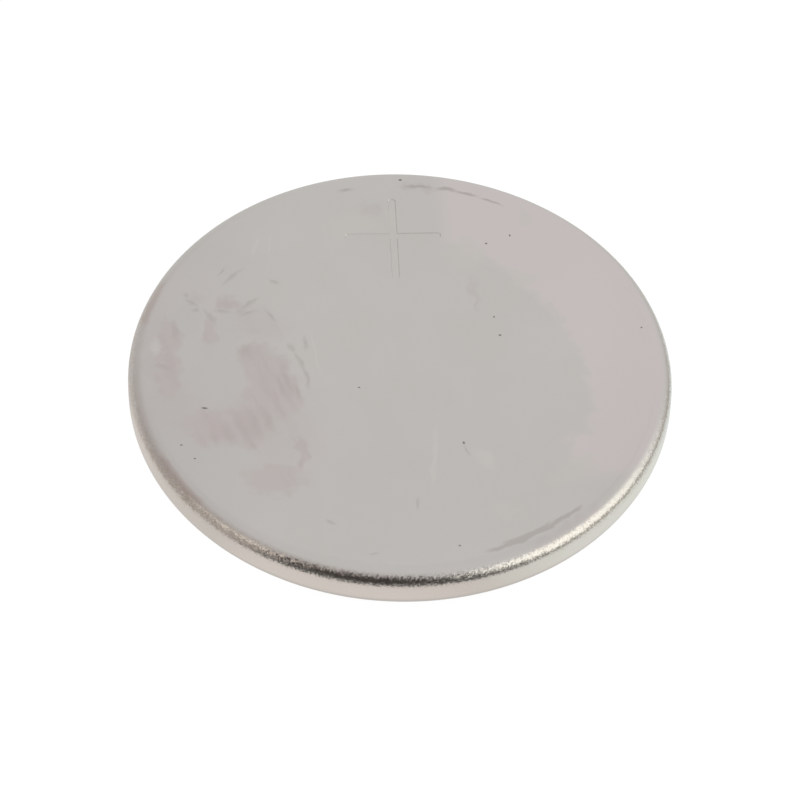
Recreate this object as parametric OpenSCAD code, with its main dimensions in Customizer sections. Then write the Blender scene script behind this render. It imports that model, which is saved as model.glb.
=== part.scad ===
// Lithium coin cell, 23 mm across and 2.5 mm high.
// The cell stands on its negative terminal: z = 0 is that terminal's outer face, +Z runs along the
// cell's axis to the positive face, and the crimp closes the positive can round the negative cap.

/* [Cell] */
// Diameter over the positive can's wall
cell_diameter = 23; // [16:0.5:30]
// Height between the two flat terminal faces
cell_height = 2.5; // [2.4:0.1:5]

/* [Positive can] */
// Thickness of the steel sheet that the can is drawn from
can_sheet = 0.25; // [0.15:0.01:0.3]
// Outer radius of the drawn shoulder round the positive face
shoulder_radius = 0.7; // [0.35:0.05:0.8]
// Outer radius of the rim where it is rolled in over the gasket
crimp_radius = 1; // [0.8:0.05:1.2]
// Height of the rolled rim's underside above the negative terminal
lip_height = 0.3; // [0.1:0.05:0.4]
// Flat length of the lip past the roll, towards the axis
lip_flat = 0.1; // [0.05:0.05:0.3]

/* [Gasket] */
// Thickness of the moulded gasket between the can and the cap
gasket_wall = 0.3; // [0.2:0.01:0.36]
// Width of the gasket that shows inside the lip
gasket_show = 0.3; // [0.2:0.05:0.6]
// Thickness of the gasket's inner lip, inside the cap's hem
inner_lip_wall = 0.2; // [0.15:0.05:0.4]
// Height of the gasket's inner lip over its base
inner_lip_height = 0.5; // [0.3:0.05:0.6]

/* [Negative cap] */
// Thickness of the steel sheet that the cap is pressed from
cap_sheet = 0.25; // [0.15:0.01:0.3]
// Outer radius of the cap's two pressed corners
cap_corner = 0.35; // [0.32:0.01:0.42]
// Least flat of the hem's foot on the gasket, before the gasket turns up with the roll
hem_seat = 0.05; // [0.02:0.01:0.15]
// Radius of the hollow where the terminal's step meets the flange
step_fillet = 0.2; // [0.1:0.05:0.25]
// Draft of the terminal's step, from upright
step_draft = 15; // [0:1:30]
// Width of the flange that shows between the gasket and the step
flange_show = 0.1; // [0.05:0.05:0.5]
// Gap left inside the hem, between its two layers of sheet
hem_gap = 0.04; // [0.02:0.01:0.08]

/* [Cell stack] */
// Thickness of the lithium disc
lithium_thickness = 0.6; // [0.3:0.05:0.8]
// Thickness of the non-woven separator
separator_thickness = 0.2; // [0.1:0.05:0.3]
// Thickness of the current collector lath
collector_thickness = 0.15; // [0.1:0.05:0.2]
// Clearance between the separator's edge and the cap's step
separator_clearance = 0.05; // [0.02:0.01:0.5]
// How far the separator reaches past the cathode pellet all round
separator_over_pellet = 0.25; // [0.1:0.05:1]
// How far the separator reaches past the lithium disc all round
separator_over_lithium = 0.6; // [0.1:0.05:2]
// How far the pellet reaches past the collector all round
pellet_over_collector = 0.3; // [0.1:0.05:2]
// Chamfer on the pellet's two pressed edges
pellet_chamfer = 0.1; // [0.05:0.01:0.15]

/* [Collector lath] */
// Length of one diamond of the lath, from strand to strand
lath_long = 3; // [2:0.1:5]
// Width of one diamond of the lath, from strand to strand
lath_short = 1.5; // [1:0.1:3]
// Width of a strand
lath_strand = 0.3; // [0.2:0.05:0.5]
// Plain margin at the lath disc's edge
lath_margin = 0.3; // [0.1:0.05:1]

/* [Hidden] */
turn_fn = 180;
bend_fn = 64;

// The can: its floor is the positive face, and its rim is rolled in below
can_r = cell_diameter / 2;
floor_z = cell_height - can_sheet;
lip_edge_r = can_r - crimp_radius - lip_flat;
roll_z = lip_height + crimp_radius;

// The seat that the crimped can and gasket leave for the cap
seal = can_sheet + gasket_wall;
seat_r = can_r - seal;
seat_low_z = lip_height + seal;
seat_high_z = cell_height - seal;

// The gasket's ends: a round nose outside and a lip inside the hem
nose_r = lip_edge_r - gasket_show + gasket_wall / 2;
nose_z = lip_height + can_sheet + gasket_wall / 2;

// The cap's hem, from the seat inwards: outer layer, gap, inner layer
outer_layer_r = seat_r - cap_sheet;
inner_layer_out_r = outer_layer_r - hem_gap;
inner_layer_r = inner_layer_out_r - cap_sheet;
fold_radius = cap_sheet + hem_gap / 2;
fold_z = seat_high_z - fold_radius;
roll_foot_r = can_r - crimp_radius;
hem_corner_radius = max(cap_corner, inner_layer_out_r - roll_foot_r + hem_seat);
hem_corner = [inner_layer_out_r - hem_corner_radius, seat_low_z + hem_corner_radius];

// The cap's step: two bends and the drafted wall that is tangent to both
step_turn = 90 - step_draft;
step_along = [cos(step_turn), sin(step_turn)];
step_inward = [-sin(step_turn), cos(step_turn)];
fillet_centre = [lip_edge_r - gasket_show - flange_show, seat_low_z - step_fillet];
step_top = fillet_centre + step_fillet * step_inward;
step_foot_z = cap_corner * (1 - cos(step_turn));
step_length = (step_top[1] - step_foot_z) / sin(step_turn);
step_foot = step_top - step_length * step_along;
terminal_corner = step_foot + cap_corner * step_inward;

// The stack, from the cap's inner face up to the can's floor
separator_z = cap_sheet + lithium_thickness;
pellet_z = separator_z + separator_thickness;
collector_z = floor_z - collector_thickness;
separator_r = terminal_corner[0] - separator_clearance;
pellet_r = separator_r - separator_over_pellet;
lithium_r = separator_r - separator_over_lithium;
collector_r = pellet_r - pellet_over_collector;

// ---- Section shapes, drawn with the radius along X and the height along Y ----

// What a rounded corner leaves out of a square one, above its centre (side 1) or below it (side -1)
module corner_waste(centre, radius, side) {
    if (radius > 0)
        translate(centre) difference() {
            translate([0, side < 0 ? -radius : 0]) square(radius);
            circle(r = radius, $fn = bend_fn);
        }
}

// Everything inside the closed can's outline, moved in by inset
module can_outline(inset) {
    edge_r = can_r - inset;
    low_z = lip_height + inset;
    high_z = cell_height - inset;
    roll = crimp_radius - inset;
    shoulder = shoulder_radius - inset;
    difference() {
        translate([0, low_z]) square([edge_r, high_z - low_z]);
        corner_waste([edge_r - roll, low_z + roll], roll, -1);
        corner_waste([edge_r - shoulder, high_z - shoulder], shoulder, 1);
    }
}

// A rectangle from one corner to the other
module run(low, high) {
    translate(low) square(high - low);
}

module positive_can_section() {
    difference() {
        can_outline(0);
        can_outline(can_sheet);
        run([0, 0], [lip_edge_r, floor_z]);
    }
}

// The gasket lines the can from the nose outside the cap round to the lip inside its hem
module gasket_section() {
    inner_lip_r = inner_layer_r - inner_lip_wall;
    tip_radius = inner_lip_wall / 2;
    tip_z = seat_high_z - inner_lip_height + tip_radius;
    difference() {
        can_outline(can_sheet);
        can_outline(seal);
        run([0, 0], [nose_r, seat_low_z]);
        run([0, seat_low_z], [inner_lip_r, floor_z]);
    }
    translate([nose_r, nose_z]) circle(r = gasket_wall / 2, $fn = bend_fn);
    run([inner_lip_r, tip_z], [inner_layer_r, seat_high_z]);
    translate([inner_lip_r + tip_radius, tip_z]) circle(r = tip_radius, $fn = bend_fn);
    hem_edge_seal();
}

// What the crimp squeezes in behind the hem's free edge, round the cap's corner
module hem_edge_seal() {
    difference() {
        intersection() {
            can_outline(seal);
            run([hem_corner[0], seat_low_z], [seat_r, roll_z]);
        }
        cap_outline(0);
    }
}

// Everything behind the cap's outer face as far as the fold, moved in by inset
module cap_outline(inset) {
    corner = cap_corner - inset;
    hem = hem_corner_radius - inset;
    hollow = step_fillet + inset;
    flange_z = seat_low_z + inset;
    difference() {
        union() {
            polygon([
                [0, inset],
                [terminal_corner[0], inset],
                terminal_corner - corner * step_inward,
                fillet_centre + hollow * step_inward,
                [fillet_centre[0], flange_z],
                [hem_corner[0], flange_z],
                [hem_corner[0] + hem, hem_corner[1]],
                [hem_corner[0] + hem, fold_z],
                [0, fold_z]
            ]);
            translate(terminal_corner) circle(r = corner, $fn = bend_fn);
            translate(hem_corner) circle(r = hem, $fn = bend_fn);
        }
        translate(fillet_centre) circle(r = hollow, $fn = bend_fn);
    }
}

// The cap is one sheet: terminal, drafted step, flange, and a skirt folded back on itself
module negative_cap_section() {
    difference() {
        cap_outline(0);
        cap_outline(cap_sheet);
    }
    translate([inner_layer_out_r + hem_gap / 2, fold_z]) half_turn(fold_radius, cap_sheet);
    run([outer_layer_r, roll_z], [seat_r, fold_z]);
}

// A sheet folded through half a turn, with its hollow side down
module half_turn(outer, sheet) {
    difference() {
        circle(r = outer, $fn = bend_fn);
        circle(r = outer - sheet, $fn = bend_fn);
        run([-outer, -outer], [outer, 0]);
    }
}

// ---- Pieces ----

module positive_can() {
    color([0.74, 0.72, 0.70]) rotate_extrude($fn = turn_fn) positive_can_section();
}

module gasket() {
    color([0.87, 0.87, 0.83]) rotate_extrude($fn = turn_fn) gasket_section();
}

module negative_cap() {
    color([0.70, 0.69, 0.67]) rotate_extrude($fn = turn_fn) negative_cap_section();
}

// A pressed disc, a little narrower at its two faces
module cathode_pellet() {
    height = collector_z - pellet_z;
    color([0.08, 0.08, 0.09]) translate([0, 0, pellet_z]) rotate_extrude($fn = turn_fn) polygon([
        [0, 0],
        [pellet_r - pellet_chamfer, 0],
        [pellet_r, pellet_chamfer],
        [pellet_r, height - pellet_chamfer],
        [pellet_r - pellet_chamfer, height],
        [0, height]
    ]);
}

// Slit and stretched sheet: rows of diamonds, every other row moved on by half a diamond
module current_collector() {
    open = [lath_long / 2, lath_short / 2] * (1 - lath_strand / lath_short);
    reach = collector_r - lath_margin;
    rows = ceil(2 * reach / lath_short);
    columns = ceil(reach / lath_long);
    color([0.55, 0.56, 0.58]) translate([0, 0, collector_z]) linear_extrude(collector_thickness) difference() {
        circle(r = collector_r, $fn = turn_fn);
        for (row = [-rows : rows], column = [-columns : columns]) {
            shift = row % 2 == 0 ? 0 : 0.5;
            centre = [(column + shift) * lath_long, row * lath_short / 2];
            outermost = max(norm([abs(centre[0]) + open[0], centre[1]]), norm([centre[0], abs(centre[1]) + open[1]]));
            if (outermost < reach)
                translate(centre) polygon([[open[0], 0], [0, open[1]], [-open[0], 0], [0, -open[1]]]);
        }
    }
}

module separator() {
    color([0.93, 0.93, 0.90]) translate([0, 0, separator_z])
        cylinder(r = separator_r, h = separator_thickness, $fn = turn_fn);
}

module lithium_disc() {
    color([0.66, 0.67, 0.70]) translate([0, 0, cap_sheet])
        cylinder(r = lithium_r, h = lithium_thickness, $fn = turn_fn);
}

positive_can();
gasket();
negative_cap();
cathode_pellet();
current_collector();
separator();
lithium_disc();
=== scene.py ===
import math

import bmesh
import bpy
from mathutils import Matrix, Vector


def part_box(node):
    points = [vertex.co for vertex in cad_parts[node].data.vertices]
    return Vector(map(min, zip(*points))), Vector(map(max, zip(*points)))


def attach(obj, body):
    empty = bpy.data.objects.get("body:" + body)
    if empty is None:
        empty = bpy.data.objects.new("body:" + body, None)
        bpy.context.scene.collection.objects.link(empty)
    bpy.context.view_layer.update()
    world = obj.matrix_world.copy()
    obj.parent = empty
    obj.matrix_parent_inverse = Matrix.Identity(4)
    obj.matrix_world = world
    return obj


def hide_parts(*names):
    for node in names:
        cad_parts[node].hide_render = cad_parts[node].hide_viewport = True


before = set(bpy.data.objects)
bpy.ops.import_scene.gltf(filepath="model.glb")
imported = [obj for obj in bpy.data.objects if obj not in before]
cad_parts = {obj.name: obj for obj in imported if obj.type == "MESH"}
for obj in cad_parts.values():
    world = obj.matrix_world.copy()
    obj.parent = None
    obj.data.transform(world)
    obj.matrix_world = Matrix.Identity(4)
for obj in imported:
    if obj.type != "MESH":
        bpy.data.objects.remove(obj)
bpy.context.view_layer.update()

MM = 0.001


# ---- Positive can ----
# The cup that makes the cell's whole upper side, drawn from nickel-plated stainless sheet. Its floor
# is the flat positive face, pressed with a plus sign, and its wall is rolled in below over the
# gasket, which holds the cell shut.

can_low, can_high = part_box("positive_can")
can_radius = can_high.x
face_z = can_high.z
lip_z = can_low.z
lip_radius = 10.4 * MM
can_sheet = 0.25 * MM
shoulder_radius = 0.7 * MM
crimp_radius = 1.0 * MM
edge_radius = 0.03 * MM
ring_sides = 256
crease_angle = 40

sign_centre = Vector((0.02 * MM, 7.44 * MM, face_z))
sign_left = 2.12 * MM
sign_right = 2.05 * MM
sign_up = 2.2 * MM
sign_down = 2.5 * MM
sign_stroke = 0.35 * MM
sign_end_round = 0.42 * sign_stroke
sign_wall = ((0.010, 0.003), (0.012, 0.015), (0.012, 0.015), (0.010, 0.003))
same_place = 0.004 * MM
merge_reach = 0.001 * MM


def begin(piece, name):
    piece.name = name
    piece.data.name = name
    bpy.ops.object.transform_apply(location=True, rotation=True, scale=True)
    bpy.ops.object.mode_set(mode="EDIT")


def pick(piece, mode, wanted):
    bpy.ops.mesh.select_all(action="DESELECT")
    bpy.ops.mesh.select_mode(type=mode)
    mesh = bmesh.from_edit_mesh(piece.data)
    elements = {"VERT": mesh.verts, "EDGE": mesh.edges, "FACE": mesh.faces}[mode]
    for element in elements:
        if wanted(element):
            element.select_set(True)
    mesh.select_flush_mode()
    bmesh.update_edit_mesh(piece.data)


def pick_ring(piece, radius, height):
    def on_ring(corner):
        off = math.hypot(corner.co.x, corner.co.y) - radius
        return abs(off) < same_place and abs(corner.co.z - height) < same_place

    pick(piece, "EDGE", lambda edge: all(on_ring(corner) for corner in edge.verts))


def carry_ring(factor, rise):
    bpy.ops.mesh.extrude_edges_move()
    bpy.ops.transform.resize(value=(factor, factor, 1), center_override=(0, 0, 0))
    bpy.ops.transform.translate(value=(0, 0, rise))


def round_ring(piece, radius, height, reach, steps):
    pick_ring(piece, radius, height)
    bpy.ops.mesh.bevel(offset=reach, offset_type="OFFSET", segments=steps, profile=0.5,
                       affect="EDGES", clamp_overlap=False)


def apply_modifier(piece, kind, **settings):
    modifier = piece.modifiers.new(kind.lower(), kind)
    for setting, value in settings.items():
        setattr(modifier, setting, value)
    bpy.ops.object.modifier_apply(modifier=modifier.name)


def finish_mesh(piece):
    bpy.ops.mesh.select_all(action="SELECT")
    bpy.ops.mesh.remove_doubles(threshold=merge_reach)
    bpy.ops.object.mode_set(mode="OBJECT")
    bpy.ops.object.select_all(action="DESELECT")
    piece.select_set(True)
    bpy.context.view_layer.objects.active = piece
    bpy.ops.object.shade_smooth_by_angle(angle=math.radians(crease_angle))


# The cup, open below, with its shoulder and rim rounded
bpy.ops.object.select_all(action="DESELECT")
bpy.ops.mesh.primitive_cylinder_add(vertices=ring_sides, radius=can_radius, depth=face_z - lip_z,
                                    end_fill_type="NGON", location=(0, 0, (face_z + lip_z) / 2))
can = bpy.context.object
begin(can, "can_shell")
pick(can, "FACE", lambda face: face.normal.z < -0.9)
bpy.ops.mesh.delete(type="ONLY_FACE")
pick_ring(can, can_radius, lip_z)
carry_ring(lip_radius / can_radius, 0)
round_ring(can, can_radius, lip_z, crimp_radius, 20)
round_ring(can, can_radius, face_z, shoulder_radius, 18)
bpy.ops.object.mode_set(mode="OBJECT")
apply_modifier(can, "SOLIDIFY", thickness=can_sheet, offset=-1, use_even_offset=True)

# The punch for the plus sign: a cross with round ends, narrowing to its foot in soft steps. Each
# step of its wall is how far it goes in and how far down, in millimetres.
bpy.ops.object.select_all(action="DESELECT")
bpy.ops.mesh.primitive_plane_add(size=sign_stroke, location=sign_centre)
punch = bpy.context.object
begin(punch, "sign_punch")
for way, arm in (((1, 0), sign_right), ((-1, 0), sign_left), ((0, 1), sign_up), ((0, -1), sign_down)):
    side = Vector((way[0], way[1], 0)) * sign_stroke / 2 + sign_centre
    pick(punch, "EDGE", lambda edge: (edge.verts[0].co + edge.verts[1].co - 2 * side).length < 0.02 * MM)
    bpy.ops.mesh.extrude_edges_move()
    reach = arm - sign_stroke / 2
    bpy.ops.transform.translate(value=(way[0] * reach, way[1] * reach, 0))
pick(punch, "VERT", lambda corner: (corner.co - sign_centre).length > sign_stroke)
bpy.ops.mesh.bevel(offset=sign_end_round, segments=6, profile=0.5, affect="VERTICES")
bpy.ops.mesh.select_all(action="SELECT")
bpy.ops.mesh.dissolve_limited(angle_limit=math.radians(1))
bpy.ops.mesh.select_all(action="SELECT")
bpy.ops.mesh.extrude_region_move()
bpy.ops.transform.translate(value=(0, 0, 0.1 * MM))
bpy.ops.mesh.select_all(action="SELECT")
bpy.ops.mesh.normals_make_consistent(inside=False)
pick(punch, "FACE", lambda face: face.normal.z < -0.9)
for inward, downward in sign_wall:
    bpy.ops.mesh.inset(thickness=inward * MM, depth=downward * MM)
bpy.ops.object.mode_set(mode="OBJECT")

bpy.ops.object.select_all(action="DESELECT")
can.select_set(True)
bpy.context.view_layer.objects.active = can
apply_modifier(can, "BOOLEAN", operation="DIFFERENCE", object=punch, solver="EXACT")
bpy.data.objects.remove(punch)
bpy.ops.object.mode_set(mode="EDIT")
round_ring(can, lip_radius, lip_z, edge_radius, 3)
round_ring(can, lip_radius, lip_z + can_sheet, edge_radius, 3)
finish_mesh(can)
apply_modifier(can, "WEIGHTED_NORMAL", mode="FACE_AREA", weight=50, keep_sharp=True)
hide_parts("positive_can")
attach(can, "root")


# Nodes of a material, placed by kind with their settings and inputs
def node(tree, kind, inputs=None, **settings):
    made = tree.nodes.new(kind)
    for setting, value in settings.items():
        setattr(made, setting, value)
    for name, value in (inputs or {}).items():
        if isinstance(value, bpy.types.NodeSocket):
            tree.links.new(value, made.inputs[name])
        else:
            made.inputs[name].default_value = value
    return made


def maths(tree, operation, first, second=0.0, third=0.0):
    return node(tree, "ShaderNodeMath", {0: first, 1: second, 2: third}, operation=operation).outputs[0]


def between(tree, value, low, high, out_low=0.0, out_high=1.0):
    inputs = {"Value": value, "From Min": low, "From Max": high, "To Min": out_low, "To Max": out_high}
    return node(tree, "ShaderNodeMapRange", inputs, interpolation_type="SMOOTHSTEP").outputs[0]


def mixed(tree, factor, first, second, blend="MIX"):
    inputs = {0: factor, 6: first, 7: second}
    return node(tree, "ShaderNodeMix", inputs, data_type="RGBA", blend_type=blend).outputs[2]


def noise(tree, place, scale, detail=2.0, roughness=0.5):
    inputs = {"Vector": place, "Scale": scale, "Detail": detail, "Roughness": roughness}
    return node(tree, "ShaderNodeTexNoise", inputs).outputs[0]


def material(name):
    made = bpy.data.materials.new(name)
    made.use_nodes = True
    return made, made.node_tree, made.node_tree.nodes["Principled BSDF"]


def in_millimetres(tree):
    coordinates = node(tree, "ShaderNodeTexCoord").outputs["Object"]
    inputs = {"Vector": coordinates, "Scale": (1000, 1000, 1000)}
    return node(tree, "ShaderNodeMapping", inputs).outputs[0]


# The effects that more than one finish uses: a fine pitted grain, a slow drift between two tones,
# and the lines that drawing, rolling or laying leaves
def new_effect(name, inputs, outputs):
    effect = bpy.data.node_groups.new(name, "ShaderNodeTree")
    for socket, kind in inputs:
        effect.interface.new_socket(name=socket, in_out="INPUT", socket_type=kind)
    for socket, kind in outputs:
        effect.interface.new_socket(name=socket, in_out="OUTPUT", socket_type=kind)
    return effect, effect.nodes.new("NodeGroupInput").outputs, effect.nodes.new("NodeGroupOutput").inputs


plating_grain, given, made = new_effect(
    "plating_grain",
    (("Place", "NodeSocketVector"), ("Fineness", "NodeSocketFloat"), ("Tilt", "NodeSocketFloat")),
    (("Normal", "NodeSocketVector"), ("Pits", "NodeSocketFloat")))
crystals = node(plating_grain, "ShaderNodeTexVoronoi",
                {"Vector": given["Place"], "Scale": given["Fineness"]})
lean = node(plating_grain, "ShaderNodeVectorMath", {0: crystals.outputs["Color"], 1: (0.5, 0.5, 0.5)},
            operation="SUBTRACT").outputs[0]
lean = node(plating_grain, "ShaderNodeVectorMath", {0: lean}, operation="SCALE")
plating_grain.links.new(given["Tilt"], lean.inputs["Scale"])
upright = node(plating_grain, "ShaderNodeNewGeometry").outputs["Normal"]
leaning = node(plating_grain, "ShaderNodeVectorMath", {0: upright, 1: lean.outputs[0]},
               operation="ADD").outputs[0]
leaning = node(plating_grain, "ShaderNodeVectorMath", {0: leaning}, operation="NORMALIZE").outputs[0]
plating_grain.links.new(leaning, made["Normal"])
luck = node(plating_grain, "ShaderNodeSeparateColor", {0: crystals.outputs["Color"]}).outputs[0]
plating_grain.links.new(between(plating_grain, luck, 0.05, 0.35, 1.0, 0.0), made["Pits"])

tone_drift, given, made = new_effect(
    "tone_drift",
    (("Place", "NodeSocketVector"), ("Spread", "NodeSocketFloat"),
     ("First", "NodeSocketColor"), ("Second", "NodeSocketColor")),
    (("Color", "NodeSocketColor"), ("Drift", "NodeSocketFloat")))
drift = between(tone_drift, noise(tone_drift, given["Place"], given["Spread"], 3.0, 0.55), 0.36, 0.64)
tone_drift.links.new(drift, made["Drift"])
tone_drift.links.new(mixed(tone_drift, drift, given["First"], given["Second"]), made["Color"])

drawn_lines, given, made = new_effect(
    "drawn_lines",
    (("Place", "NodeSocketVector"), ("Spacing", "NodeSocketVector"), ("Lean", "NodeSocketVector")),
    (("Lines", "NodeSocketFloat"),))
along = node(drawn_lines, "ShaderNodeMapping",
             {"Vector": given["Place"], "Rotation": given["Lean"], "Scale": given["Spacing"]},
             vector_type="TEXTURE").outputs[0]
drawn_lines.links.new(noise(drawn_lines, along, 1.0), made["Lines"])


def effect(tree, group, **inputs):
    return node(tree, "ShaderNodeGroup", inputs, node_tree=group).outputs


# A soft-edged oval mark on the face, 1 in its middle. Its place and half sizes are in millimetres,
# and its turn is in degrees anticlockwise.
def mark(tree, place, centre, half, turn, soft):
    edge = 1.0 + soft
    inputs = {"Vector": place, "Location": (centre[0], centre[1], face_z / MM),
              "Rotation": (0, 0, math.radians(turn)),
              "Scale": (half[0] * edge, half[1] * edge, min(half) * edge)}
    centred = node(tree, "ShaderNodeMapping", inputs, vector_type="TEXTURE").outputs[0]
    ball = node(tree, "ShaderNodeTexGradient", {"Vector": centred}, gradient_type="SPHERICAL").outputs[1]
    return between(tree, ball, 0.0, 2.0 * soft / edge)


def marks(tree, place, places, soft):
    strongest = None
    for across, up, half_wide, half_long, turn in places:
        spot = mark(tree, place, (across, up), (half_wide, half_long), turn, soft)
        strongest = spot if strongest is None else maths(tree, "MAXIMUM", strongest, spot)
    return strongest


# An arc rubbed into the face near its rim, between two bearings in degrees from +Y towards +X
def rub(tree, radius, bearing, middle, half_wide, first, last):
    across = maths(tree, "ABSOLUTE", maths(tree, "SUBTRACT", radius, middle))
    body = between(tree, across, half_wide * 0.4, half_wide * 1.6, 1.0, 0.0)
    start = between(tree, bearing, first - 1.0, first + 2.0)
    end = between(tree, bearing, last - 3.0, last + 0.5, 1.0, 0.0)
    return maths(tree, "MULTIPLY", body, maths(tree, "MULTIPLY", start, end))


# The marks on the face, each with its place across and up, half width, half length and turn
smudges = ((-6.1, 0.6, 0.8, 0.75, 25), (-5.6, -0.5, 1.05, 1.3, 30), (-5.5, -1.6, 1.25, 1.5, 12),
           (-6.5, -3.2, 1.45, 1.15, 5), (-8.1, -3.2, 1.2, 0.95, -25), (-8.0, 1.8, 0.32, 0.85, 0),
           (-7.1, 3.6, 0.5, 0.5, 0), (-5.4, -6.1, 1.2, 0.8, 0), (-9.75, 1.9, 0.45, 1.1, 0),
           (-9.75, 0.4, 0.42, 1.3, 0), (-9.7, -0.8, 0.5, 0.9, 8), (-4.3, -4.8, 0.35, 1.2, 0))
faint_smudges = ((-8.5, 4.0, 0.3, 0.35, 0), (-9.6, -1.9, 1.1, 1.9, 25), (-7.6, -2.6, 2.2, 1.6, 0),
                 (-5.3, -3.0, 1.5, 2.6, 10), (-10.2, 0.9, 0.7, 2.4, 0), (-6.2, 2.5, 1.4, 0.9, -20),
                 (3.35, 4.0, 0.2, 0.8, 0), (-0.8, 8.9, 0.5, 0.4, 0),
                 (1.2, 10.3, 0.7, 0.2, -5), (6.3, -9.2, 2.0, 0.25, 37))
clear_spots = ((-7.85, -0.3, 1.1, 1.75, 0), (-7.25, 2.0, 0.4, 1.2, 0), (-9.0, 3.0, 0.5, 0.9, 0))
strokes = ((-7.3, -3.6, 0.20, 0.55, 16), (-6.7, -3.4, 0.19, 0.75, 20), (-6.2, -3.1, 0.17, 0.7, 16),
           (-5.65, -2.9, 0.15, 0.6, 20), (-7.9, -3.9, 0.14, 0.3, 10), (-6.35, -4.2, 0.12, 0.3, 30),
           (-5.1, -1.0, 0.12, 0.45, 18), (-4.75, -0.8, 0.11, 0.6, 20), (-4.4, -1.3, 0.12, 0.55, 14),
           (-6.5, 0.95, 0.28, 0.3, 20), (-10.0, 0.1, 0.3, 0.12, -20), (-9.5, 2.1, 0.14, 0.45, 0))
scratches = ((-9.0, 4.2, 0.12, 0.10, 0), (-8.75, 3.75, 0.09, 0.35, 40), (-8.6, 3.25, 0.15, 0.1, 0),
             (-8.0, 2.95, 0.12, 0.35, 25), (-7.5, 3.2, 0.30, 0.1, -15), (-6.3, 3.65, 0.09, 0.42, -50),
             (-6.4, 3.15, 0.3, 0.07, 20), (-7.0, 5.2, 0.08, 0.5, -40), (-7.5, 5.5, 0.06, 0.2, -50),
             (-5.2, 4.9, 0.2, 0.07, -20), (-5.4, 2.9, 0.07, 0.3, 40), (-4.25, 0.3, 0.08, 0.5, 20),
             (-4.0, -0.6, 0.07, 0.5, 8), (-4.0, 1.3, 0.08, 0.3, 5), (-4.6, 1.1, 0.12, 0.2, 30),
             (2.55, -4.8, 0.05, 0.25, 20), (-1.5, -10.2, 0.15, 0.06, 0), (-3.2, -8.5, 0.2, 0.06, -30),
             (0.4, -7.6, 0.06, 0.3, -10))
scuffs = ((1.2, -5.0, 0.13, 1.5, -5), (3.3, -5.3, 0.35, 0.6, 30), (-6.0, 6.9, 0.07, 0.6, -12),
          (-5.4, 7.0, 0.06, 0.6, -8), (-10.3, 1.3, 0.22, 0.4, 0), (-3.6, 0.9, 0.05, 1.2, 8))
# Spots of painted yellowish reflection on the face, in the same columns
yellow_reflection_spots = ((3.1, 6.2, 0.7, 0.9, 0), (5.4, 4.8, 0.5, 0.5, 0), (5.7, 8.4, 0.15, 0.5, 0),
            (-1.8, 8.1, 1.0, 0.6, 20), (0.0, 8.6, 0.11, 0.85, 0), (0.1, 6.0, 0.07, 1.0, -3),
            (7.2, -5.8, 0.9, 0.6, 30), (4.1, -8.1, 0.5, 0.4, 0), (6.2, -6.5, 0.35, 0.3, 0))
specks = ((4.0, 6.9, 0.05, 0.045, 0), (5.05, 7.35, 0.035, 0.06, 0), (-8.3, -2.2, 0.12, 0.045, -10),
          (-9.3, -4.2, 0.05, 0.035, 0), (-8.75, -4.95, 0.045, 0.035, 0), (2.45, -4.35, 0.045, 0.07, 10),
          (2.0, -9.85, 0.045, 0.04, 0), (10.35, 1.9, 0.04, 0.04, 0), (4.1, 2.65, 0.035, 0.05, 0),
          (4.3, 1.6, 0.055, 0.05, 0), (0.45, 10.75, 0.07, 0.05, 0), (-1.8, -1.2, 0.05, 0.035, 0),
          (10.3, -5.1, 0.08, 0.08, 0))

# The rubbed arcs, each with its radius, half width, and the bearings where it starts and ends
rubs = ((10.40, 0.07, -12.5, -8.5), (10.40, 0.07, 3.5, 10.5), (10.43, 0.10, 11.0, 17.0),
        (10.43, 0.06, 15.5, 22.0), (10.36, 0.06, 22.0, 28.5), (10.62, 0.09, 137.5, 164.0),
        (10.56, 0.13, 146.0, 160.0))

# The can's tones
plating_grey = (0.595, 0.574, 0.546, 1)
plating_warm = (0.603, 0.576, 0.554, 1)
# Painted pink reflection on the right of the face
painted_pink_reflection = (0.645, 0.594, 0.584, 1)
painted_yellow_reflection = (0.612, 0.592, 0.545, 1)
# Painted shade for the face's front and left
front_painted_shade = (0.976, 0.974, 0.976, 1)
left_painted_shade = (0.955, 0.948, 0.950, 1)
wiped_grey = (0.545, 0.536, 0.508, 1)
finger_grease = (0.536, 0.482, 0.466, 1)
ridge_grease = (0.500, 0.452, 0.434, 1)
scratch_grey = (0.43, 0.40, 0.375, 1)
scuff_pale = (0.640, 0.622, 0.590, 1)
rub_grey = (0.44, 0.405, 0.38, 1)
stain_red = (0.46, 0.37, 0.335, 1)
dirt_brown = (0.12, 0.105, 0.10, 1)
pit_brown = (0.30, 0.255, 0.20, 1)
grain_fineness = 17.0


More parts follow.
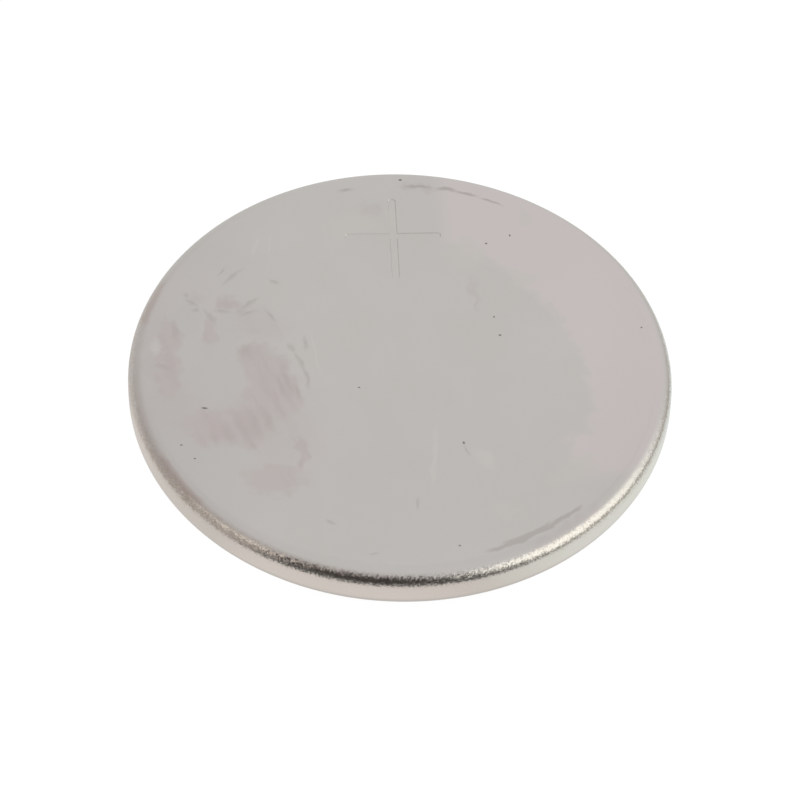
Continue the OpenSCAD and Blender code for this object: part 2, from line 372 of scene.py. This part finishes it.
def can_nickel():
    made, tree, skin = material("can_finish")
    place = in_millimetres(tree)
    axes = node(tree, "ShaderNodeSeparateXYZ", {0: place})
    x, y, z = axes.outputs[0], axes.outputs[1], axes.outputs[2]
    bearing = maths(tree, "DEGREES", maths(tree, "ARCTAN2", x, y))

    # Places shaken much, less and least, so that no mark has a clean outline
    shake = node(tree, "ShaderNodeTexNoise", {"Vector": place, "Scale": 1.7, "Detail": 3.0}).outputs[1]
    shake = node(tree, "ShaderNodeVectorMath", {0: shake, 1: (0.5, 0.5, 0.5)},
                 operation="SUBTRACT").outputs[0]
    ragged = node(tree, "ShaderNodeVectorMath", {0: shake, 1: (1.3, 1.3, 0.0), 2: place},
                  operation="MULTIPLY_ADD").outputs[0]
    shaken = node(tree, "ShaderNodeVectorMath", {0: shake, 1: (0.45, 0.45, 0.0), 2: place},
                  operation="MULTIPLY_ADD").outputs[0]
    steady = node(tree, "ShaderNodeVectorMath", {0: shake, 1: (0.3, 0.3, 0.0), 2: place},
                  operation="MULTIPLY_ADD").outputs[0]

    # Grey plating with a painted pink reflection on the right, which ends in faint painted yellowish
    # reflections
    drift = effect(tree, tone_drift, Place=place, Spread=0.35,
                   First=plating_grey, Second=plating_warm)
    colour = drift["Color"]
    pink_reflection_from = node(tree, "ShaderNodeVectorMath", {0: ragged, 1: (-2.0, -2.0, face_z / MM)},
                      operation="DISTANCE").outputs["Value"]
    pink_reflection = maths(tree, "MULTIPLY", between(tree, pink_reflection_from, 9.6, 10.3), between(tree, x, 1.6, 2.8))
    pink_reflection = maths(tree, "MULTIPLY", pink_reflection, between(tree, y, -6.8, -5.4))
    pink_reflection = maths(tree, "MAXIMUM", pink_reflection, mark(tree, ragged, (7.6, -4.8), (0.85, 0.9), 0.0, 0.4))
    pink_reflection = maths(tree, "MULTIPLY", pink_reflection, between(tree, z, 2.34, 2.47))
    colour = mixed(tree, pink_reflection, colour, painted_pink_reflection)
    # Faint painted yellowish reflections
    yellow_reflection = maths(tree, "MULTIPLY", marks(tree, ragged, yellow_reflection_spots, 0.5), 0.6)
    colour = mixed(tree, yellow_reflection, colour, painted_yellow_reflection)

    # Painted shade: the face tones down a little towards the front and the left, standing in for the
    # darker studio it reflects there
    on_face = between(tree, z, 2.36, 2.48)
    front = maths(tree, "MULTIPLY", on_face, between(tree, y, -7.0, 2.0, 1.0, 0.0))
    colour = mixed(tree, front, colour, front_painted_shade, "MULTIPLY")
    left = maths(tree, "MULTIPLY", on_face, between(tree, x, -9.5, -4.5, 1.0, 0.0))
    colour = mixed(tree, left, colour, left_painted_shade, "MULTIPLY")

    # Finger marks on the left, clear in places, with leaning ridges that show most in their lower part
    clear = marks(tree, ragged, clear_spots, 0.4)
    faint = maths(tree, "MULTIPLY", marks(tree, ragged, faint_smudges, 0.6), 0.45)
    colour = mixed(tree, maths(tree, "MULTIPLY", clear, 0.5), colour, wiped_grey)
    leaning = effect(tree, drawn_lines, Place=shaken, Spacing=(0.42, 1.9, 1.0), Lean=(0, 0, 0.30))["Lines"]
    ridged = between(tree, leaning, 0.35, 0.62, 1.0, 0.72)
    smudge = maths(tree, "MAXIMUM", marks(tree, ragged, smudges, 0.45), faint)
    smudge = maths(tree, "MULTIPLY", smudge, between(tree, clear, 0.0, 1.0, 1.0, 0.1))
    smudge = maths(tree, "MULTIPLY", smudge, ridged)
    colour = mixed(tree, smudge, colour, finger_grease)
    ridges = marks(tree, shaken, strokes, 0.9)
    colour = mixed(tree, maths(tree, "MULTIPLY", ridges, 0.8), colour, ridge_grease)

    # Short scratches and pale scuffs
    scored = marks(tree, shaken, scratches, 0.8)
    colour = mixed(tree, maths(tree, "MULTIPLY", scored, 0.45), colour, scratch_grey)
    scuffed = marks(tree, shaken, scuffs, 0.5)
    colour = mixed(tree, maths(tree, "MULTIPLY", scuffed, 0.45), colour, scuff_pale)

    # Arcs rubbed near the rim by the holder's contacts
    rubbed = None
    level = node(tree, "ShaderNodeVectorMath", {0: steady, 1: (1, 1, 0)}, operation="MULTIPLY").outputs[0]
    near = node(tree, "ShaderNodeVectorMath", {0: level}, operation="LENGTH").outputs["Value"]
    for arc in rubs:
        strip = rub(tree, near, bearing, *arc)
        rubbed = strip if rubbed is None else maths(tree, "MAXIMUM", rubbed, strip)
    rubbed = maths(tree, "MULTIPLY", rubbed, between(tree, z, 2.46, 2.49))
    colour = mixed(tree, maths(tree, "MULTIPLY", rubbed, 0.7), colour, rub_grey)

    # A reddish stain in two places on the shoulder
    stain = maths(tree, "MAXIMUM", rub(tree, near, bearing, 11.15, 0.16, -77.0, -62.0),
                  rub(tree, near, bearing, 11.15, 0.10, -131.0, -114.0))
    stain = maths(tree, "MULTIPLY", stain, between(tree, z, 2.0, 2.2))
    colour = mixed(tree, maths(tree, "MULTIPLY", stain, 0.4), colour, stain_red)

    # A few specks of dirt
    dirt = marks(tree, place, specks, 0.6)
    colour = mixed(tree, maths(tree, "MULTIPLY", dirt, 0.75), colour, dirt_brown)

    # Drawing stretches the sheet's grain open round the shoulder and leaves fine lines on the wall
    open_grain = between(tree, z, 2.28, 2.43, 1.0, 0.02)
    open_grain = maths(tree, "MULTIPLY", open_grain, between(tree, z, 1.6, 2.0, 0.1, 1.0))
    tilt = maths(tree, "MULTIPLY", open_grain, between(tree, x, 0.0, 6.0, 0.22, 0.17))
    grain = effect(tree, plating_grain, Place=place, Fineness=grain_fineness, Tilt=tilt)
    pits = maths(tree, "MULTIPLY", grain["Pits"], maths(tree, "MULTIPLY", open_grain, 0.3))
    colour = mixed(tree, pits, colour, pit_brown)
    tree.links.new(colour, skin.inputs["Base Color"])
    skin.inputs["Metallic"].default_value = 1.0

    worn = maths(tree, "MAXIMUM", smudge, rubbed)
    rough = between(tree, worn, 0.0, 1.0, 0.28, 0.36)
    tree.links.new(maths(tree, "MULTIPLY_ADD", dirt, 0.4, rough), skin.inputs["Roughness"])

    lines = effect(tree, drawn_lines, Place=place, Spacing=(2.0, 2.0, 0.083))["Lines"]
    bump = node(tree, "ShaderNodeBump", {"Height": lines, "Strength": 1.0, "Distance": 0.0015 * MM,
                                         "Normal": grain["Normal"]})
    tree.links.new(bump.outputs[0], skin.inputs["Normal"])
    return made


can.data.materials.append(can_nickel())


# ---- Current collector ----
# Titanium lath, slit and stretched into diamonds, which carries current from the pellet to the can.
# It is pressed into the pellet's top and rests against the can's floor.

def lath_titanium():
    made, tree, skin = material("lath_finish")
    place = in_millimetres(tree)
    drift = effect(tree, tone_drift, Place=place, Spread=0.8,
                   First=(0.44, 0.43, 0.42, 1), Second=(0.52, 0.51, 0.50, 1))
    tree.links.new(drift["Color"], skin.inputs["Base Color"])
    skin.inputs["Metallic"].default_value = 1.0
    streaks = effect(tree, drawn_lines, Place=place, Spacing=(0.7, 0.07, 0.07))["Lines"]
    tree.links.new(between(tree, streaks, 0.3, 0.7, 0.32, 0.48), skin.inputs["Roughness"])
    bump = node(tree, "ShaderNodeBump", {"Height": streaks, "Strength": 1.0, "Distance": 0.01 * MM})
    tree.links.new(bump.outputs[0], skin.inputs["Normal"])
    return made


def paint(node_name, finish):
    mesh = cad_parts[node_name].data
    mesh.materials.clear()
    mesh.materials.append(finish)


paint("current_collector", lath_titanium())


# ---- Cathode pellet ----
# Carbon monofluoride powder with carbon black and a binder, pressed into one hard dark disc with
# chamfered edges. It fills the can under the lath.

def pellet_compound():
    made, tree, skin = material("pellet_finish")
    place = in_millimetres(tree)
    powder = effect(tree, tone_drift, Place=place, Spread=9.0,
                    First=(0.022, 0.022, 0.024, 1), Second=(0.055, 0.054, 0.056, 1))
    grit = node(tree, "ShaderNodeTexVoronoi", {"Vector": place, "Scale": 5.0}).outputs["Distance"]
    flecks = between(tree, grit, 0.04, 0.09, 0.5, 0.0)
    colour = mixed(tree, flecks, powder["Color"], (0.12, 0.12, 0.125, 1))
    tree.links.new(colour, skin.inputs["Base Color"])
    tree.links.new(between(tree, powder["Drift"], 0.0, 1.0, 0.62, 0.85), skin.inputs["Roughness"])
    bump = node(tree, "ShaderNodeBump",
                {"Height": powder["Drift"], "Strength": 1.0, "Distance": 0.01 * MM})
    tree.links.new(bump.outputs[0], skin.inputs["Normal"])
    return made


paint("cathode_pellet", pellet_compound())


# ---- Separator ----
# A disc of non-woven polypropylene felt, soaked with electrolyte, which keeps the lithium and the
# pellet apart and reaches past both.

def felt():
    made, tree, skin = material("separator_finish")
    place = in_millimetres(tree)
    fibres = None
    for lean in (0.3, 1.4, 2.5):
        lay = effect(tree, drawn_lines, Place=place, Spacing=(0.8, 0.04, 0.04), Lean=(0, 0, lean))["Lines"]
        fibres = lay if fibres is None else maths(tree, "MAXIMUM", fibres, lay)
    clumps = effect(tree, tone_drift, Place=place, Spread=1.4,
                    First=(0.70, 0.69, 0.65, 1), Second=(0.77, 0.76, 0.72, 1))
    colour = mixed(tree, between(tree, fibres, 0.45, 0.75), clumps["Color"], (0.86, 0.86, 0.82, 1))
    tree.links.new(colour, skin.inputs["Base Color"])
    tree.links.new(between(tree, fibres, 0.4, 0.8, 0.9, 0.65), skin.inputs["Roughness"])
    bump = node(tree, "ShaderNodeBump", {"Height": fibres, "Strength": 1.0, "Distance": 0.02 * MM})
    tree.links.new(bump.outputs[0], skin.inputs["Normal"])
    return made


paint("separator", felt())


# ---- Lithium disc ----
# Soft rolled lithium punched from strip, the cell's anode. It is pressed on to the cap's inner face
# and has gone slightly dull and grey.

def rolled_lithium():
    made, tree, skin = material("lithium_finish")
    place = in_millimetres(tree)
    rolled = effect(tree, drawn_lines, Place=place, Spacing=(1.25, 0.11, 0.11), Lean=(0, 0, 0.2))["Lines"]
    dull = effect(tree, tone_drift, Place=place, Spread=0.6,
                  First=(0.62, 0.63, 0.66, 1), Second=(0.38, 0.38, 0.42, 1))
    tree.links.new(dull["Color"], skin.inputs["Base Color"])
    skin.inputs["Metallic"].default_value = 1.0
    tree.links.new(between(tree, dull["Drift"], 0.0, 1.0, 0.28, 0.6), skin.inputs["Roughness"])
    bump = node(tree, "ShaderNodeBump", {"Height": rolled, "Strength": 1.0, "Distance": 0.012 * MM})
    tree.links.new(bump.outputs[0], skin.inputs["Normal"])
    return made


paint("lithium_disc", rolled_lithium())


# ---- Negative cap ----
# The lid pressed from nickel-plated stainless sheet: a flat terminal, a step, a flange and a skirt
# that is hemmed back on itself. It sits in the gasket, and the cell stands on it.

cap_low, cap_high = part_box("negative_cap")
cap_sheet = 0.25 * MM
terminal_z = cap_low.z
flange_z = 0.85 * MM
step_foot_radius = 9.619 * MM
step_head_radius = 9.847 * MM
hem_radius = 10.66 * MM
hem_gap = 0.04 * MM
fold_z = cap_high.z - cap_sheet
hem_edge_z = 1.3 * MM
fold_corner = 0.499 * hem_gap
skirt_corner = 0.35 * MM
step_head_corner = 0.1535 * MM
step_foot_corner = 0.2686 * MM

bpy.ops.object.select_all(action="DESELECT")
bpy.ops.mesh.primitive_circle_add(vertices=ring_sides, radius=step_foot_radius, fill_type="NGON",
                                  location=(0, 0, terminal_z))
cap = bpy.context.object
begin(cap, "cap_shell")
bpy.ops.mesh.select_all(action="SELECT")
bpy.ops.mesh.flip_normals()
pick_ring(cap, step_foot_radius, terminal_z)
profile = ((step_foot_radius, terminal_z), (step_head_radius, flange_z), (hem_radius, flange_z),
           (hem_radius, fold_z), (hem_radius + hem_gap, fold_z), (hem_radius + hem_gap, hem_edge_z))
for (radius, height), (next_radius, next_height) in zip(profile, profile[1:]):
    carry_ring(next_radius / radius, next_height - height)
round_ring(cap, hem_radius + hem_gap, fold_z, fold_corner, 8)
round_ring(cap, hem_radius, fold_z, fold_corner, 8)
round_ring(cap, hem_radius, flange_z, skirt_corner, 10)
round_ring(cap, step_head_radius, flange_z, step_head_corner, 10)
round_ring(cap, step_foot_radius, terminal_z, step_foot_corner, 12)
bpy.ops.object.mode_set(mode="OBJECT")
apply_modifier(cap, "SOLIDIFY", thickness=cap_sheet, offset=-1, use_even_offset=True)
bpy.ops.object.mode_set(mode="EDIT")
finish_mesh(cap)
apply_modifier(cap, "WEIGHTED_NORMAL", mode="FACE_AREA", weight=50, keep_sharp=True)
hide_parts("negative_cap")
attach(cap, "root")


def cap_nickel():
    made, tree, skin = material("cap_finish")
    place = in_millimetres(tree)
    drift = effect(tree, tone_drift, Place=place, Spread=0.3,
                   First=(0.58, 0.56, 0.53, 1), Second=(0.60, 0.565, 0.54, 1))
    up = node(tree, "ShaderNodeSeparateXYZ", {0: place}).outputs[2]
    on_bend = between(tree, up, 0.02, 0.15, 0.1, 1.0)
    grain = effect(tree, plating_grain, Place=place, Fineness=grain_fineness,
                   Tilt=maths(tree, "MULTIPLY", on_bend, 0.2))
    pits = maths(tree, "MULTIPLY", grain["Pits"], maths(tree, "MULTIPLY", on_bend, 0.3))
    tree.links.new(mixed(tree, pits, drift["Color"], (0.36, 0.33, 0.30, 1)), skin.inputs["Base Color"])
    skin.inputs["Metallic"].default_value = 1.0
    tree.links.new(between(tree, drift["Drift"], 0.0, 1.0, 0.27, 0.31), skin.inputs["Roughness"])
    tree.links.new(grain["Normal"], skin.inputs["Normal"])
    return made


cap.data.materials.append(cap_nickel())


# ---- Gasket ----
# A moulded polypropylene ring that insulates the cap from the can. It lines the can from the nose
# that shows inside the crimp, round the hem, to a lip inside it, and the crimp squeezes it tight.

gasket_low, gasket_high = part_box("gasket")
gasket_radius = gasket_high.x
gasket_wall = 0.3 * MM
nose_radius = 10.1 * MM
inner_lip_low = 10.21 * MM
inner_lip_high = 10.41 * MM
inner_lip_z = 1.45 * MM
roll_radius = 0.75 * MM
top_radius = 0.45 * MM
lip_edge_radius = 0.099 * MM
nose_edge_radius = 0.149 * MM
squeeze_low_z = 1.06 * MM
squeeze_inner_radius = 10.5 * MM
close_by = 0.01 * MM
seat_radius = gasket_radius - gasket_wall
seat_top_z = gasket_high.z - gasket_wall

bpy.ops.object.select_all(action="DESELECT")
bpy.ops.mesh.primitive_circle_add(vertices=ring_sides, radius=nose_radius, fill_type="NOTHING",
                                  location=(0, 0, gasket_low.z))
gasket = bpy.context.object
begin(gasket, "gasket_ring")
pick_ring(gasket, nose_radius, gasket_low.z)
profile = ((nose_radius, gasket_low.z), (gasket_radius, gasket_low.z), (gasket_radius, gasket_high.z),
           (inner_lip_high, gasket_high.z), (inner_lip_low, gasket_high.z))
for (radius, height), (next_radius, next_height) in zip(profile, profile[1:]):
    carry_ring(next_radius / radius, next_height - height)
round_ring(gasket, gasket_radius, gasket_low.z, roll_radius, 18)
round_ring(gasket, gasket_radius, gasket_high.z, top_radius, 12)
bpy.ops.mesh.select_all(action="SELECT")
bpy.ops.mesh.normals_make_consistent(inside=False)
bpy.ops.object.mode_set(mode="OBJECT")
apply_modifier(gasket, "SOLIDIFY", thickness=gasket_wall, offset=-1, use_even_offset=True)
bpy.ops.object.mode_set(mode="EDIT")


# What the crimp squeezes in behind the hem's free edge
def on_roll(face):
    place = face.calc_center_median()
    radius = math.hypot(place.x, place.y)
    beside_hem = squeeze_inner_radius < radius < seat_radius + close_by
    return beside_hem and squeeze_low_z < place.z < hem_edge_z


pick(gasket, "FACE", on_roll)
bpy.ops.mesh.extrude_region_move()
squeeze = (hem_radius + hem_gap) / seat_radius
bpy.ops.transform.resize(value=(squeeze, squeeze, 1), center_override=(0, 0, 0))


# The lip inside the hem
def over_lip(face):
    place = face.calc_center_median()
    radius = math.hypot(place.x, place.y)
    return abs(place.z - seat_top_z) < close_by and inner_lip_low < radius < inner_lip_high


pick(gasket, "FACE", over_lip)
bpy.ops.mesh.extrude_region_move()
bpy.ops.transform.translate(value=(0, 0, inner_lip_z - seat_top_z))
round_ring(gasket, inner_lip_low, inner_lip_z, lip_edge_radius, 5)
round_ring(gasket, inner_lip_high, inner_lip_z, lip_edge_radius, 5)
round_ring(gasket, nose_radius, gasket_low.z, nose_edge_radius, 8)
round_ring(gasket, nose_radius, gasket_low.z + gasket_wall, nose_edge_radius, 8)
finish_mesh(gasket)
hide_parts("gasket")
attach(gasket, "root")


def polypropylene():
    made, tree, skin = material("gasket_finish")
    place = in_millimetres(tree)
    cloud = effect(tree, tone_drift, Place=place, Spread=0.7,
                   First=(0.70, 0.70, 0.65, 1), Second=(0.76, 0.76, 0.72, 1))
    tree.links.new(cloud["Color"], skin.inputs["Base Color"])
    satin = noise(tree, place, 18.0)
    tree.links.new(between(tree, satin, 0.3, 0.7, 0.34, 0.5), skin.inputs["Roughness"])
    skin.inputs["Subsurface Weight"].default_value = 0.2
    skin.inputs["Subsurface Scale"].default_value = 0.3 * MM
    bump = node(tree, "ShaderNodeBump", {"Height": satin, "Strength": 1.0, "Distance": 0.005 * MM})
    tree.links.new(bump.outputs[0], skin.inputs["Normal"])
    return made


gasket.data.materials.append(polypropylene())


# ---- Floor ----
# A plain pale table, seamless to the horizon, which isn't part of the cell. It looks white, and its
# tones round the cell show only in the metal. They go by millimetres from the cell's middle and by
# degrees round from the front, to the right.

floor_size = 6
floor_z = -0.02 * MM
left_table = (0.910, 0.862, 0.816, 1)
right_table = (1.061, 1.089, 1.026, 1)
far_right_table = (0.96, 1.01, 0.99, 1)
far_left_table = (0.74, 0.70, 0.67, 1)
back_table = (0.74, 0.735, 0.71, 1)
ring_shade = (0.33, 0.26, 0.20, 1)
wedge_shade = (0.02, 0.010, 0.002, 1)
foot_glow = (1.03, 0.97, 0.92, 1)
under_shade = (0.72, 0.69, 0.66, 1)


def turn_from_front(tree, x, y):
    return maths(tree, "DEGREES", maths(tree, "ARCTAN2", x, maths(tree, "MULTIPLY", y, -1.0)))


def directly_seen(tree, rays):
    seen = maths(tree, "MAXIMUM", rays["Is Camera Ray"], rays["Is Glossy Ray"])
    return maths(tree, "MAXIMUM", seen, rays["Is Transmission Ray"])


bpy.ops.object.select_all(action="DESELECT")
bpy.ops.mesh.primitive_plane_add(size=floor_size, location=(0, 0, floor_z))
floor = bpy.context.object
floor.name = "floor"
floor_paint = bpy.data.materials.new("floor_paint")
floor_paint.use_nodes = True
tree = floor_paint.node_tree
tree.nodes.clear()
rays = node(tree, "ShaderNodeLightPath").outputs
seen = directly_seen(tree, rays)
x, y = node(tree, "ShaderNodeSeparateXYZ", {0: in_millimetres(tree)}).outputs[:2]
across = maths(tree, "MULTIPLY", x, x)
along = maths(tree, "MULTIPLY", y, y)
radius = maths(tree, "SQRT", maths(tree, "ADD", across, along))
turn = turn_from_front(tree, x, y)
# Painted light and shade on the table, seen only in the metal: lighter on the right, darker on the left,
# far left and behind
floor_tone = mixed(tree, between(tree, x, 2.1, 8.3), left_table, right_table)
floor_tone = mixed(tree, between(tree, turn, 61, 97), floor_tone, far_right_table)
floor_tone = mixed(tree, between(tree, turn, -103, -83, 1, 0), floor_tone, far_left_table)
floor_tone = mixed(tree, between(tree, y, 5, 12), floor_tone, back_table)
front = maths(tree, "MULTIPLY", between(tree, turn, -99, -84), between(tree, turn, 98, 137, 1, 0))
dark_ring = maths(tree, "MULTIPLY", front, between(tree, radius, 15.7, 18.1))
dark_ring = maths(tree, "MULTIPLY", dark_ring, between(tree, radius, 27.8, 30.5, 1, 0))
wedge = maths(tree, "MULTIPLY", between(tree, turn, -52, -32), between(tree, turn, 20, 57, 1, 0))
dark_wedge = maths(tree, "MULTIPLY", wedge, between(tree, radius, 13.9, 16.9))
floor_tone = mixed(tree, dark_ring, floor_tone, ring_shade)
floor_tone = mixed(tree, dark_wedge, floor_tone, wedge_shade)
near_front = maths(tree, "MULTIPLY", wedge, between(tree, radius, 13.0, 15.0, 1, 0))
near_front = maths(tree, "MULTIPLY", near_front, between(tree, turn, -5, 25, 1, 0))
floor_tone = mixed(tree, near_front, floor_tone, foot_glow)
floor_tone = mixed(tree, between(tree, radius, 11.2, 12.0), under_shade, floor_tone)
floor_seen = mixed(tree, rays["Is Glossy Ray"], (1, 1, 1, 1), floor_tone)
matt = node(tree, "ShaderNodeBsdfDiffuse", {"Color": (0.95, 0.95, 0.95, 1)})
white = node(tree, "ShaderNodeEmission", {"Color": floor_seen, "Strength": 1.06})
share = maths(tree, "MULTIPLY", seen, 0.9)
blend = node(tree, "ShaderNodeMixShader", {0: share, 1: matt.outputs[0], 2: white.outputs[0]})
clear = node(tree, "ShaderNodeBsdfTransparent")
behind = node(tree, "ShaderNodeNewGeometry").outputs["Backfacing"]
see_through = maths(tree, "MULTIPLY", behind, rays["Is Camera Ray"])
whole = node(tree, "ShaderNodeMixShader", {0: see_through, 1: blend.outputs[0], 2: clear.outputs[0]})
out = node(tree, "ShaderNodeOutputMaterial")
tree.links.new(whole.outputs[0], out.inputs["Surface"])
floor.data.materials.append(floor_paint)


# ---- Diffuser ----
# A ring of pale card round the face, lower in front and open at the back, which shows only in
# reflections. It keeps the softbox and the dark room out of the face when it is seen from low down.
# It isn't part of the cell.

card_radius = 10.79 * MM
card_height = 20 * MM
card_gap = 0.01 * MM
card_tone = (0.81, 0.807, 0.81, 1)

bpy.ops.object.select_all(action="DESELECT")
bpy.ops.mesh.primitive_cylinder_add(vertices=128, radius=card_radius, depth=card_height,
                                    end_fill_type="NOTHING",
                                    location=(0, 0, face_z + card_gap + card_height / 2))
diffuser = bpy.context.object
diffuser.name = "diffuser"
bpy.ops.object.transform_apply(location=True, rotation=True, scale=True)
card = bpy.data.materials.new("diffuser_card")
card.use_nodes = True
card.cycles.emission_sampling = "NONE"
tree = card.node_tree
tree.nodes.clear()
x, y, z = node(tree, "ShaderNodeSeparateXYZ", {0: in_millimetres(tree)}).outputs
turn = turn_from_front(tree, x, y)
held = maths(tree, "MULTIPLY", between(tree, turn, -130, -105), between(tree, turn, 105, 130, 1, 0))
tall = between(tree, z, 17, 22, 1, 0)
short = between(tree, z, 8.5, 12.5, 1, 0)
side = between(tree, maths(tree, "ABSOLUTE", maths(tree, "ADD", turn, 10.0)), 25, 45)
height = maths(tree, "MULTIPLY_ADD", maths(tree, "SUBTRACT", tall, short), side, short)
held = maths(tree, "MULTIPLY", held, height)
inside = node(tree, "ShaderNodeNewGeometry").outputs["Backfacing"]
held = maths(tree, "MULTIPLY", held, inside)
glossy = node(tree, "ShaderNodeLightPath").outputs["Is Glossy Ray"]
held = maths(tree, "MULTIPLY", held, glossy)
clear = node(tree, "ShaderNodeBsdfTransparent")
pale = node(tree, "ShaderNodeEmission", {"Color": card_tone, "Strength": 1.0})
blend = node(tree, "ShaderNodeMixShader", {0: held, 1: clear.outputs[0], 2: pale.outputs[0]})
out = node(tree, "ShaderNodeOutputMaterial")
tree.links.new(blend.outputs[0], out.inputs["Surface"])
diffuser.data.materials.append(card)


# ---- Studio light ----
# A pale studio: an even overhead light that falls off on the left, a softbox on the right, a small
# gleam on the left and a dark room behind the camera. Each is placed by degrees round from the front
# and above the table. The even light on matt things is separate, and the background is white.

overhead = (0.848, 0.845, 0.848, 1)
left_wall = (0.482, 0.419, 0.396, 1)
left_gleam = (1.43, 1.33, 1.17, 1)
softbox = (1.80, 1.787, 1.663, 1)
dark_room = (0.014, 0.006, 0.001, 1)

world = bpy.data.worlds.new("studio")
bpy.context.scene.world = world
world.use_nodes = True
tree = world.node_tree
tree.nodes.clear()
rays = node(tree, "ShaderNodeLightPath").outputs
direction = node(tree, "ShaderNodeTexCoord").outputs["Generated"]
x, y, z = node(tree, "ShaderNodeSeparateXYZ", {0: direction}).outputs
turn = turn_from_front(tree, x, y)
height = maths(tree, "DEGREES", maths(tree, "ARCSINE", z))


def zone(left, left_full, right_full, right, low, low_full, high_full, high):
    inside = maths(tree, "MULTIPLY", between(tree, turn, left, left_full),
                   between(tree, turn, right_full, right, 1, 0))
    inside = maths(tree, "MULTIPLY", inside, between(tree, height, low, low_full))
    return maths(tree, "MULTIPLY", inside, between(tree, height, high_full, high, 1, 0))


left_shade = maths(tree, "MULTIPLY", between(tree, turn, -180, -77), between(tree, turn, -6, 11, 1, 0))
left_shade = maths(tree, "MULTIPLY", left_shade, between(tree, height, 22, 72, 1, 0))
tones = mixed(tree, left_shade, overhead, left_wall)
tones = mixed(tree, zone(-94, -55, -50, -42, 11, 19, 25, 36), tones, left_gleam)
tones = mixed(tree, zone(3, 27, 72, 125, -30, -12, 33, 37), tones, softbox)
tones = mixed(tree, zone(-42, -39, 14, 43, -91, -90, 17, 49), tones, dark_room)
seen = mixed(tree, rays["Is Camera Ray"], tones, (1, 1, 1, 1))
shown = directly_seen(tree, rays)
fill = node(tree, "ShaderNodeBackground", {"Color": (0.95, 0.97, 1.0, 1), "Strength": 0.9})
backdrop = node(tree, "ShaderNodeBackground", {"Color": seen, "Strength": 1.0})
blend = node(tree, "ShaderNodeMixShader", {0: shown, 1: fill.outputs[0], 2: backdrop.outputs[0]})
out = node(tree, "ShaderNodeOutputWorld")
tree.links.new(blend.outputs[0], out.inputs["Surface"])


# ---- Camera ----
# A long lens 200 mm from the face, a little more than half way up from the table to overhead, looking
# slightly across the cell.

camera_distance = 0.2
camera_lens = 213.2
camera_rise = math.radians(48.75)
camera_swing = math.radians(4.0)
camera_roll = math.radians(2.04)
aim = Vector((0.03 * MM, 0, 0.25 * MM))

bpy.ops.object.camera_add()
camera = bpy.context.object
camera.name = "camera"
camera.data.sensor_width = 36
camera.data.lens = camera_lens
towards = Vector((-math.cos(camera_rise) * math.sin(camera_swing),
                  -math.cos(camera_rise) * math.cos(camera_swing), math.sin(camera_rise)))
camera.location = Vector((0, 0, face_z)) + camera_distance * towards
camera.rotation_euler = (aim - camera.location).to_track_quat("-Z", "Y").to_euler()
camera.rotation_euler.rotate_axis("Z", camera_roll)
bpy.context.scene.camera = camera

bpy.context.scene.view_settings.view_transform = "Standard"
